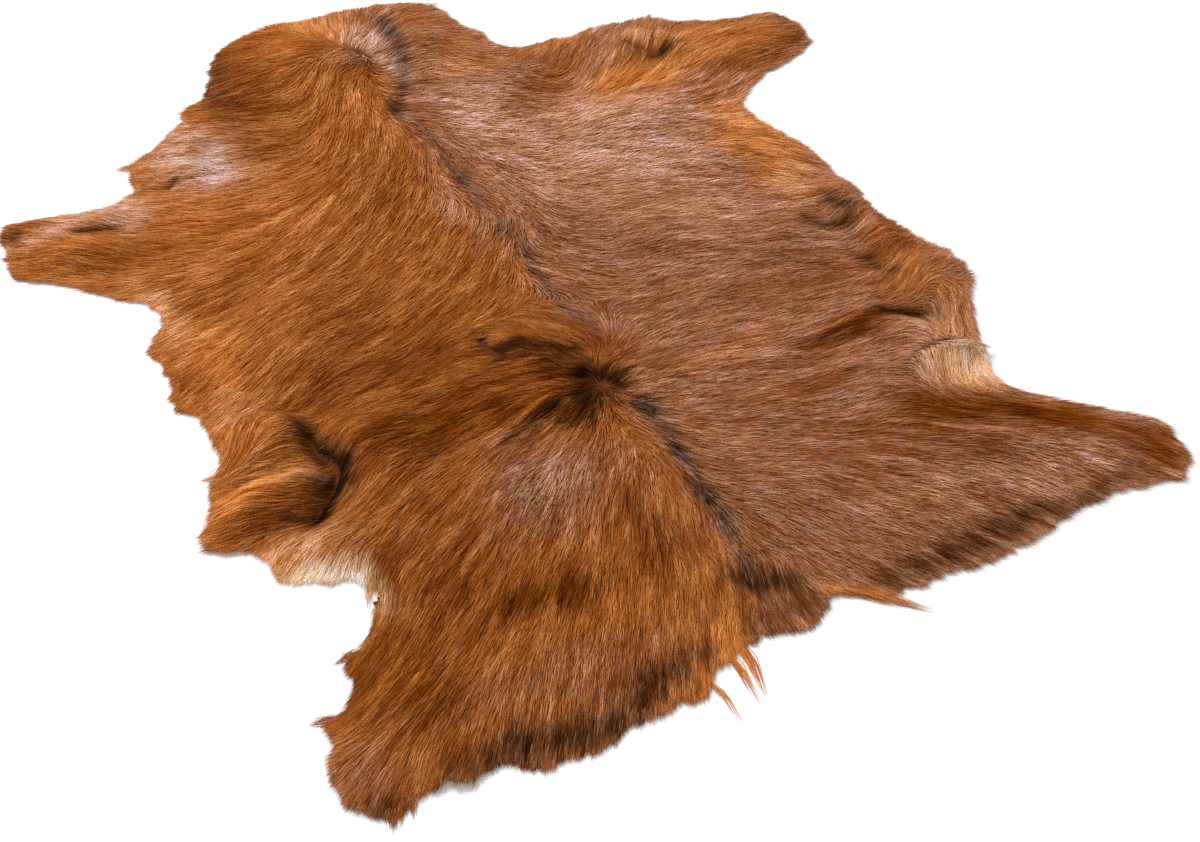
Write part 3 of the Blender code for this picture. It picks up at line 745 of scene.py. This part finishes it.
def bump_node(nodes, links, noise, strength, depth, shader):
    node = nodes.new("ShaderNodeBump")
    node.inputs["Strength"].default_value = strength
    node.inputs["Distance"].default_value = depth
    links.new(noise.outputs["Fac"], node.inputs["Height"])
    links.new(node.outputs["Normal"], shader.inputs["Normal"])


def coat_material():
    """Hair: each strand's own colour, mottled along its length, with a broken gloss."""
    made = bpy.data.materials.new("goat_hair")
    made.use_nodes = True
    nodes, links = made.node_tree.nodes, made.node_tree.links
    shader = nodes["Principled BSDF"]
    coordinates = nodes.new("ShaderNodeTexCoord")
    tint = nodes.new("ShaderNodeAttribute")
    tint.attribute_name = "coat"
    mottle = noise_node(nodes, links, *MOTTLE, coordinates)
    shade = spread_node(nodes, links, mottle.outputs["Fac"], *MOTTLE_RANGE)
    scaled = nodes.new("ShaderNodeVectorMath")
    scaled.operation = "SCALE"
    links.new(tint.outputs["Color"], scaled.inputs[0])
    links.new(shade.outputs["Result"], scaled.inputs["Scale"])
    links.new(scaled.outputs["Vector"], shader.inputs["Base Color"])
    gloss = noise_node(nodes, links, *HAIR_GLOSS, coordinates)
    rough = spread_node(nodes, links, gloss.outputs["Fac"], *HAIR_ROUGH)
    links.new(rough.outputs["Result"], shader.inputs["Roughness"])
    grain = noise_node(nodes, links, *HAIR_GRAIN, coordinates)
    bump_node(nodes, links, grain, *HAIR_BUMP, shader)
    shader.inputs["Specular IOR Level"].default_value = HAIR_SPECULAR
    return made


def skin_material(face):
    """One face of the skin, blotched between two colours, with a grain."""
    made = bpy.data.materials.new(face.name)
    made.use_nodes = True
    nodes, links = made.node_tree.nodes, made.node_tree.links
    shader = nodes["Principled BSDF"]
    coordinates = nodes.new("ShaderNodeTexCoord")
    blotch = noise_node(nodes, links, *BLOTCH, coordinates)
    ramp = nodes.new("ShaderNodeValToRGB")
    for end, position, tone in zip(ramp.color_ramp.elements, BLOTCH_EDGES, (face.dark, face.pale)):
        end.position = position
        end.color = (*linear(tone), 1)
    links.new(blotch.outputs["Fac"], ramp.inputs["Fac"])
    links.new(ramp.outputs["Color"], shader.inputs["Base Color"])
    gloss = noise_node(nodes, links, *SKIN_GLOSS, coordinates)
    rough = spread_node(nodes, links, gloss.outputs["Fac"], *face.rough)
    links.new(rough.outputs["Result"], shader.inputs["Roughness"])
    grain = noise_node(nodes, links, face.grain, SKIN_GRAIN_DETAIL, coordinates)
    bump_node(nodes, links, grain, SKIN_BUMP, face.depth, shader)
    shader.inputs["Specular IOR Level"].default_value = SKIN_SPECULAR
    return made


# The skin
def cut_sheet(ground, field):
    """Points and faces of a grid sheet, cut cleanly along the field's zero line."""
    counts = ((np.array(ground.shape) - 1) * CELL / SKIN_CELL).astype(int)
    x, y = (ground.low[a] + SKIN_CELL * np.arange(counts[a]) for a in (0, 1))
    places = np.stack(np.meshgrid(x, y, indexing="ij"), axis=-1).reshape(-1, 2)
    value = ground.read(field, places)
    close = np.abs(value) < SNAP * SKIN_CELL
    step = 1.0
    slope = np.stack([ground.read(field, places + d) - ground.read(field, places - d)
                      for d in ((step, 0), (0, step))], axis=1) / (2 * step)
    steep = np.maximum((slope**2).sum(axis=1, keepdims=True), GENTLEST_SLOPE)
    places = np.where(close[:, None], places - value[:, None] * slope / steep, places)
    value = np.where(close, 0.0, value)
    points, used, cuts, faces = [], {}, {}, []

    def corner(k):
        if k not in used:
            used[k] = len(points)
            points.append(places[k])
        return used[k]

    def cut(k, m):
        key = (min(k, m), max(k, m))
        if key not in cuts:
            share = value[k] / (value[k] - value[m])
            cuts[key] = len(points)
            points.append(places[k] + share * (places[m] - places[k]))
        return cuts[key]

    high = counts[1]
    for i in range(counts[0] - 1):
        for j in range(high - 1):
            ring = (i * high + j, (i + 1) * high + j, (i + 1) * high + j + 1, i * high + j + 1)
            if max(value[k] for k in ring) <= 0:
                continue
            face = []
            for k, m in zip(ring, ring[1:] + ring[:1]):
                if value[k] >= 0:
                    face.append(corner(k))
                if value[k] * value[m] < 0:
                    face.append(cut(k, m))
            faces.append(face)
    return np.array(points), faces


def make_skin(ground, fields):
    """The thin skin on the folds: the dark hair side above, partly painted shade in the gaps of the
    coat, flesh below and at the bare patches.
    """
    points, faces = cut_sheet(ground, fields["skin"])
    heights = ground.read(fields["under"], points)
    mesh = bpy.data.meshes.new("skin")
    mesh.from_pydata(np.column_stack([points, heights]) * MM, [], faces)
    mesh.materials.append(skin_material(HAIR_FACE))
    mesh.materials.append(skin_material(FLESH_FACE))
    centres = np.array([polygon.center[:2] for polygon in mesh.polygons]) / MM - TABLE_ORIGIN
    for polygon, pale in zip(mesh.polygons, bare(centres)):
        polygon.use_smooth = True
        polygon.material_index = int(pale)
    obj = bpy.data.objects.new("skin", mesh)
    bpy.context.scene.collection.objects.link(obj)
    thick = obj.modifiers.new("thickness", "SOLIDIFY")
    thick.thickness = SKIN * MM
    thick.offset = 1
    thick.material_offset = 1
    thick.material_offset_rim = 1
    return obj


# The coat
def unit(vectors):
    return vectors / np.maximum(np.linalg.norm(vectors, axis=1, keepdims=True), 1e-9)


def drawn_together(roots, tips, pitch, pull, ground, fields, lengths, seed):
    """Each tip drawn towards the tip of the nearest of a scatter of guide hairs."""
    draw = dice(seed)
    steps = (roots + NOISE_HALF) / pitch
    size = int(2 * NOISE_HALF / pitch) + 4
    guides = draw.uniform(0, 1, (size, size, 2)) + np.stack(
        np.meshgrid(np.arange(size), np.arange(size), indexing="ij"), axis=-1)
    cell = np.floor(steps).astype(int)
    best, nearest = np.full(len(roots), np.inf), np.zeros((len(roots), 2))
    key = np.zeros(len(roots), int)
    for di in (-1, 0, 1):
        for dj in (-1, 0, 1):
            i, j = cell[:, 0] + di, cell[:, 1] + dj
            gap = np.sum((guides[i, j] - steps) ** 2, axis=1)
            closer = gap < best
            best = np.where(closer, gap, best)
            nearest[closer] = guides[i[closer], j[closer]]
            key[closer] = (i * size + j)[closer]
    centres = nearest * pitch - NOISE_HALF
    lie = unit(ground.read(fields["lie"], centres))
    goal = centres + lie * lengths[:, None]
    share = pull * draw.uniform(0.5, 1.3, len(roots))[:, None]
    return tips + share * (goal - tips), draw.uniform(0, 1, size * size)[key]


def scattered(ground, pitch, field, low, high, seed):
    """Places on a shaken grid where the field lies between two values."""
    draw = dice(seed)
    span = (np.array(ground.shape) - 1) * CELL
    counts = (span / pitch).astype(int)
    x, y = (np.arange(counts[a]) for a in (0, 1))
    places = np.stack(np.meshgrid(x, y, indexing="ij"), axis=-1).reshape(-1, 2)
    places = ground.low + pitch * (places + draw.uniform(0, 1, places.shape))
    value = ground.read(field, places)
    return places[(value > low) & (value <= high)]


def streaks(places, ground, fields, seed):
    """Light and dark that runs along the lie of the hair, about 0."""
    total = np.zeros(len(places))
    for index, (size, reach, strength) in enumerate(STREAKS):
        steps = int(0.5 * reach / STREAK_STEP)
        mean = lumps(places, size, seed + index)
        for way in (1, -1):
            at = places
            for _ in range(steps):
                at = at + way * STREAK_STEP * unit(ground.read(fields["lie"], at))
                mean = mean + lumps(at, size, seed + index)
        total += strength * mean / max(mean.std(), 1e-9)
    return total


def strand_paths(roots, lie, lengths, gather, ground, fields, draw, seed):
    """Root, middle and tip of each strand, and a number for its clump."""
    count = len(roots)
    sway, sway_size = SWAY
    stray = np.radians(draw.normal(0, FRAY, count) + sway * lumps(roots, sway_size, seed))
    turn = np.stack([np.cos(stray), np.sin(stray)], axis=1)
    lie = np.stack([lie[:, 0] * turn[:, 0] - lie[:, 1] * turn[:, 1],
                    lie[:, 0] * turn[:, 1] + lie[:, 1] * turn[:, 0]], axis=1)
    tips = roots + lie * lengths[:, None]
    clump = np.zeros(count)
    least, uneven, stray_ends = FRINGE_REACH
    wave = sum((share * lumps(roots, size, k) for share, size, k in FRINGE_WAVES), FRINGE_MEAN)
    wave = np.clip(wave, 0, FRINGE_MOST)
    allowed = -(least + uneven * wave + stray_ends * draw.uniform(0, 1, count) ** 2)
    for slit in SLITS:
        share = met_at(roots, tips, bent(slit.start, slit.middle, slit.end) + TABLE_ORIGIN)
        lengths = np.where(share < 1, lengths * np.maximum(SLIT_STOP * share, STUB), lengths)
        tips = roots + lie * lengths[:, None]
    for index, (pitch, pull) in enumerate(CLUMPS):
        tips, number = drawn_together(
            roots, tips, pitch, pull * gather, ground, fields, lengths, seed + index + 1)
        clump = clump + number / len(CLUMPS)
    middle = roots + MID_SHARE * lie * lengths[:, None]
    onward = unit(ground.read(fields["lie"], middle)) - unit(ground.read(fields["lie"], roots))
    tips = tips + (1 - MID_SHARE) * lengths[:, None] * onward
    straight = roots + (MID_SHARE + BEND_ONWARD) * (tips - roots)
    middle = (1 - BEND_SHARE) * middle + BEND_SHARE * straight
    for _ in range(SHORTEN_TRIES):
        over = ground.read(fields["skin"], tips) < allowed
        keep = np.where(over, SHORTEN_STEP, 1.0)[:, None]
        tips = roots + keep * (tips - roots)
        middle = roots + keep * (middle - roots)
    return middle, tips, clump


def raised(places, share, ground, fields):
    """The places with heights: this share of the pile above the skin."""
    under = ground.read(fields["under"], places)
    pile = ground.read(fields["pile"], places)
    return np.column_stack([places, under + SKIN + share * pile])


def strand_mesh(name, root, middle, tip, width, roll, colours):
    """One mesh of flat strands, each of two pointed faces that meet at its widest place."""
    count = len(root)
    along = unit(tip - root)
    side = unit(np.cross(along, (0, 0, 1)))
    top = np.cross(side, along)
    across = side * np.cos(roll)[:, None] + top * np.sin(roll)[:, None]
    half = 0.5 * width[:, None] * across
    points = np.stack([root, middle + half, middle - half, tip], axis=1)
    mesh = bpy.data.meshes.new(name)
    mesh.vertices.add(4 * count)
    mesh.vertices.foreach_set("co", (points * MM).astype(np.float32).ravel())
    corners = np.array([0, 1, 2, 2, 1, 3])
    loops = (4 * np.arange(count)[:, None] + corners).ravel()
    mesh.loops.add(len(loops))
    mesh.loops.foreach_set("vertex_index", loops.astype(np.int32))
    mesh.polygons.add(2 * count)
    starts = (6 * np.arange(count)[:, None] + (0, 3)).ravel()
    mesh.polygons.foreach_set("loop_start", starts.astype(np.int32))
    mesh.update(calc_edges=True)
    mesh.polygons.foreach_set("use_smooth", np.ones(2 * count, bool))
    tint = mesh.color_attributes.new("coat", "FLOAT_COLOR", "POINT")
    shades = np.ones((count, 4, 4))
    shades[:, :, :3] = colours[:, [0, 1, 1, 2]]
    tint.data.foreach_set("color", shades.astype(np.float32).ravel())
    cell = np.stack(np.divmod(np.arange(count), int(math.ceil(math.sqrt(count)))), axis=1)
    spots = np.array([(0.5, 0.06), (0.9, 0.5), (0.1, 0.5), (0.5, 0.94)])
    flat = (cell[:, None, :] + spots[corners]) / math.ceil(math.sqrt(count))
    layer = mesh.uv_layers.new(name="OFBake")
    layer.data.foreach_set("uv", flat.astype(np.float32).ravel())
    obj = bpy.data.objects.new(name, mesh)
    bpy.context.scene.collection.objects.link(obj)
    return obj


def strand_colours(spots, clump, streak, tip_light, fields, draw):
    """Colours at the root, middle and tip of each strand, each by the place where it lies, with
    painted glints on a share of them.
    """
    found = [fields["canvas"].read(fields["paint"], places) for places in spots]
    gain = [np.power(COAT_GAIN, np.clip(PALE_GAIN * (1 - part[:, :1]), 0, 1)) for part in found]
    base = [part[:, :3] * by for part, by in zip(found, gain)]
    glint = found[1][:, 3]
    count = len(glint)
    # Strands differ more in brightness where the tone glints: a painted sparkle of highlights
    spread = STRAND_SPREAD + GLINT_SPREAD * glint
    shade = spread * draw.normal(0, 1, count) + CLUMP_SPREAD * (clump - 0.5) + streak
    plain = DARK_STREAKS * streak * np.clip(1 - DARK_LIMIT * base[1][:, 0], 0, 1)
    hue = HUE_SPREAD * draw.normal(0, 1, count)
    tint = np.exp(np.outer(shade, SHADE_TINT) + np.outer(hue, (0, 1, 2)) + plain[:, None])
    middle = base[1] * tint
    # Paler tips; on the fringe and the long locks partly painted glow of light through the rim hair
    tip = base[2] * tint * np.exp(np.outer(tip_light, SHADE_TINT))
    # Painted glints: a share of strands, set by the tone, get pale tips and middles as painted
    # highlights, gold where the share is low and pale sheen where it is high
    bright = draw.uniform(0, 1, count) < glint
    cool = np.clip(GLINT_COOL * glint, 0, 1)[:, None]
    pale = linear(TONES["painted_sheen"]) * cool + linear(TONES["gold"]) * (1 - cool)
    tip[bright] = tip[bright] * (1 - GLINT_ON_TIP) + pale[bright] * GLINT_ON_TIP
    middle[bright] = middle[bright] * (1 - GLINT_ON_MIDDLE) + pale[bright] * GLINT_ON_MIDDLE
    root = (0.5 * base[0] + 0.5 * base[1]) * tint * ROOT_DARK
    made = np.stack([root, middle, tip], axis=1)
    made = np.minimum(made, made[:, :, :1] * WARMEST)
    return made * np.minimum(1, BRIGHTEST / made.max(axis=2, keepdims=True))


def grow(name, roots, lengths, tip_light, gather, ground, fields, seed):
    """One piece of the coat, with a strand on each root that isn't in a bare patch."""
    draw = dice(seed)
    covered = ~bare(roots - TABLE_ORIGIN)
    roots, lengths = roots[covered], lengths[covered]
    count = len(roots)
    lie = unit(ground.read(fields["lie"], roots))
    lengths = lengths * (1 - SHORT_WITH_GLINT * fields["canvas"].read(fields["paint"], roots)[:, 3])
    least, reach = SHORT_AT_WHORL
    for whorl in WHORLS:
        away = roots - TABLE_ORIGIN - (whorl.x, whorl.y)
        lengths = lengths * (1 - (1 - least) * np.exp(-(away**2).sum(axis=1) / reach**2))
    middle, tips, clump = strand_paths(roots, lie, lengths, gather, ground, fields, draw, seed)
    streak = streaks(roots, ground, fields, seed + 5)
    rise = LEAST_RISE + (1 - LEAST_RISE) * draw.uniform(0, 1, count)
    rise = rise * (CLUMP_RISE[0] + CLUMP_RISE[1] * clump) * np.exp(STREAK_RISE * streak)
    root = raised(roots, np.zeros(count), ground, fields)
    mid = raised(middle, MID_HEIGHT * rise, ground, fields)
    tip = raised(tips, rise, ground, fields)
    width = STRAND_WIDTH * draw.uniform(*WIDTH_RANGE, count)
    roll = np.radians(draw.normal(0, ROLL, count))
    colours = strand_colours((roots, middle, tips), clump, streak, tip_light, fields, draw)
    return strand_mesh(name, root, mid, tip, width, roll, colours)


# The whole
def read_form():
    """The grid over the solid and its fields: underside, pile, skin, lie of the hair and colour."""
    low, high = (np.array(corner[:2]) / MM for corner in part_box("hide"))
    ground, canvas = Ground(low, high, CELL), Ground(low, high, PAINT_CELL)
    paint = coat_colours(canvas.spots().reshape(-1, 2) - TABLE_ORIGIN).reshape(*canvas.shape, 4)
    under, top, inside = solid_heights(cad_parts["hide"], ground)
    under = filled(under, inside, 0.0)
    pile = np.maximum(filled(top, inside, OUTER_PILE) - under - SKIN, LEAST_PILE)
    places = ground.spots().reshape(-1, 2) - TABLE_ORIGIN
    for rise in RISES:
        gap = gap_to_line(places, bent(rise.start, rise.middle, rise.end)).reshape(ground.shape)
        pile += rise.height * np.exp(-((gap / rise.width) ** 2))
    pile = np.maximum(pile, LEAST_PILE)
    skin = skin_field(inside)
    lie = headings(places).reshape(*ground.shape, 2)
    out = -np.stack(np.gradient(softened(skin, EDGE_SOFTEN), CELL), axis=-1)
    out /= np.maximum(np.linalg.norm(out, axis=2, keepdims=True), 1e-6)
    edge = np.clip(1 - skin / EDGE_BAND, 0, 1)[:, :, None]
    inward = np.clip(EDGE_OUTWARD - (lie * out).sum(axis=2, keepdims=True), 0, None)
    lie = lie + edge * inward * out
    fields = {"under": under, "pile": pile, "skin": skin, "lie": lie, "canvas": canvas, "paint": paint}
    return ground, fields


def make_coat(ground, fields):
    """The bands of the coat from neck to tail, the fringe and the long locks."""
    roots = scattered(ground, STRAND_PITCH, fields["skin"], 0.0, np.inf, ROOT_DRAW)
    roots = roots[np.argsort(-roots[:, 1], kind="stable")]
    made = []
    for index, band in enumerate(np.array_split(roots, BANDS)):
        lengths = STRAND_LENGTH * dice(LENGTH_DRAW + index).uniform(*LENGTH_RANGE, len(band))
        seed = BAND_DRAW + BAND_DRAW_STEP * index
        made.append(grow(f"coat_{index + 1}", band, lengths, TIP_LIGHT, 1.0, ground, fields, seed))
    fringe = scattered(ground, FRINGE_PITCH, fields["skin"], 0.0, FRINGE_BAND, FRINGE_DRAW)
    lengths = FRINGE_LENGTH * dice(FRINGE_LENGTH_DRAW).uniform(*FRINGE_RANGE, len(fringe))
    made.append(grow("fringe", fringe, lengths, FRINGE_LIGHT, FRINGE_PULL, ground, fields,
                     FRINGE_GROWTH_DRAW))
    made.append(make_tufts(ground, fields))
    return made


def make_tufts(ground, fields):
    """The few long locks that reach past the rest of the rim."""
    draw = dice(TUFT_DRAW)
    roots, tips = [], []
    for tuft in TUFTS:
        base, end = np.array(tuft[:2], float), np.array(tuft[2:4], float)
        run = unit((end - base)[None, :])
        side = np.column_stack([-run[:, 1], run[:, 0]])
        across = draw.normal(0, TUFT_ACROSS, tuft.count)[:, None]
        back = draw.uniform(-TUFT_BACK, 0.0, tuft.count)[:, None] * tuft.spread
        reach = 1 - TUFT_SHORTER * draw.uniform(0, 1, tuft.count)[:, None]
        root = base + across * tuft.spread * side + back * run
        fan = TUFT_FAN * draw.normal(0, TUFT_STRAY, tuft.count)[:, None] + TUFT_FAN * across
        roots.append(root)
        tips.append(root + reach * (end - root) + fan * tuft.spread * side)
    roots, tips = np.concatenate(roots) + TABLE_ORIGIN, np.concatenate(tips) + TABLE_ORIGIN
    count = len(roots)
    side = unit(np.stack([roots[:, 1] - tips[:, 1], tips[:, 0] - roots[:, 0]], axis=1))
    long = np.linalg.norm(tips - roots, axis=1, keepdims=True)
    bow = draw.normal(*TUFT_BOW, count)[:, None]
    middle = roots + TUFT_MIDDLE * (tips - roots) + side * long * bow
    rise = draw.uniform(*TUFT_RISE, count)
    lift = np.repeat([tuft.lift for tuft in TUFTS], [tuft.count for tuft in TUFTS])
    root, mid, tip = (raised(places, height * rise + lift, ground, fields)
                      for places, height in zip((roots, middle, tips), TUFT_HEIGHTS))
    tip[:, 2] -= TUFT_DROP * SKIN * (lift == 0)
    still = np.zeros(count)
    colours = strand_colours((roots, roots, roots), still + 0.5, still, FRINGE_LIGHT, fields, draw)
    width = STRAND_WIDTH * draw.uniform(*TUFT_WIDTHS, count)
    roll = np.radians(draw.normal(0, ROLL, count))
    return strand_mesh("tufts", root, mid, tip, width, roll, colours)


def make_floor():
    mesh = bpy.data.meshes.new("floor")
    far = FLOOR_HALF
    corners = [(-far, -far, 0), (far, -far, 0), (far, far, 0), (-far, far, 0)]
    mesh.from_pydata(corners, [], [(0, 1, 2, 3)])
    material = bpy.data.materials.new("floor")
    material.use_nodes = True
    shader = material.node_tree.nodes["Principled BSDF"]
    shader.inputs["Base Color"].default_value = (FLOOR_GREY, FLOOR_GREY, FLOOR_GREY, 1)
    shader.inputs["Roughness"].default_value = FLOOR_ROUGH
    mesh.materials.append(material)
    floor = bpy.data.objects.new("floor", mesh)
    bpy.context.scene.collection.objects.link(floor)


def make_light():
    """Soft round lamps that face the hide, in a pale room."""
    for lamp in LAMPS:
        data = bpy.data.lights.new(lamp.name, "AREA")
        data.shape = "DISK"
        data.size = lamp.size
        data.energy = lamp.power
        obj = bpy.data.objects.new(lamp.name, data)
        obj.location = lamp.place
        obj.rotation_euler = (-Vector(lamp.place)).to_track_quat("-Z", "Y").to_euler()
        bpy.context.scene.collection.objects.link(obj)
    world = bpy.data.worlds.new("studio")
    world.use_nodes = True
    backdrop = world.node_tree.nodes["Background"]
    backdrop.inputs["Color"].default_value = (1, 1, 1, 1)
    backdrop.inputs["Strength"].default_value = WORLD_LIGHT
    bpy.context.scene.world = world
    bpy.context.scene.view_settings.view_transform = "Standard"
    bpy.context.scene.cycles.use_denoising = False


def make_camera():
    data = bpy.data.cameras.new("camera")
    data.sensor_width = FILM_MM
    data.lens = FOCAL_MM
    camera = bpy.data.objects.new("camera", data)
    camera.location = CAMERA_PLACE
    camera.rotation_euler = (math.radians(CAMERA_TILT), 0, math.radians(CAMERA_TURN))
    bpy.context.scene.collection.objects.link(camera)
    bpy.context.scene.camera = camera


def main():
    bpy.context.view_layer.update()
    make_camera()
    make_floor()
    make_light()
    ground, fields = read_form()
    skin = make_skin(ground, fields)
    coat = make_coat(ground, fields)
    hair = coat_material()
    for piece in coat:
        piece.data.materials.append(hair)
    for piece in [skin] + coat:
        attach(piece, "root")
        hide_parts("hide")


main()
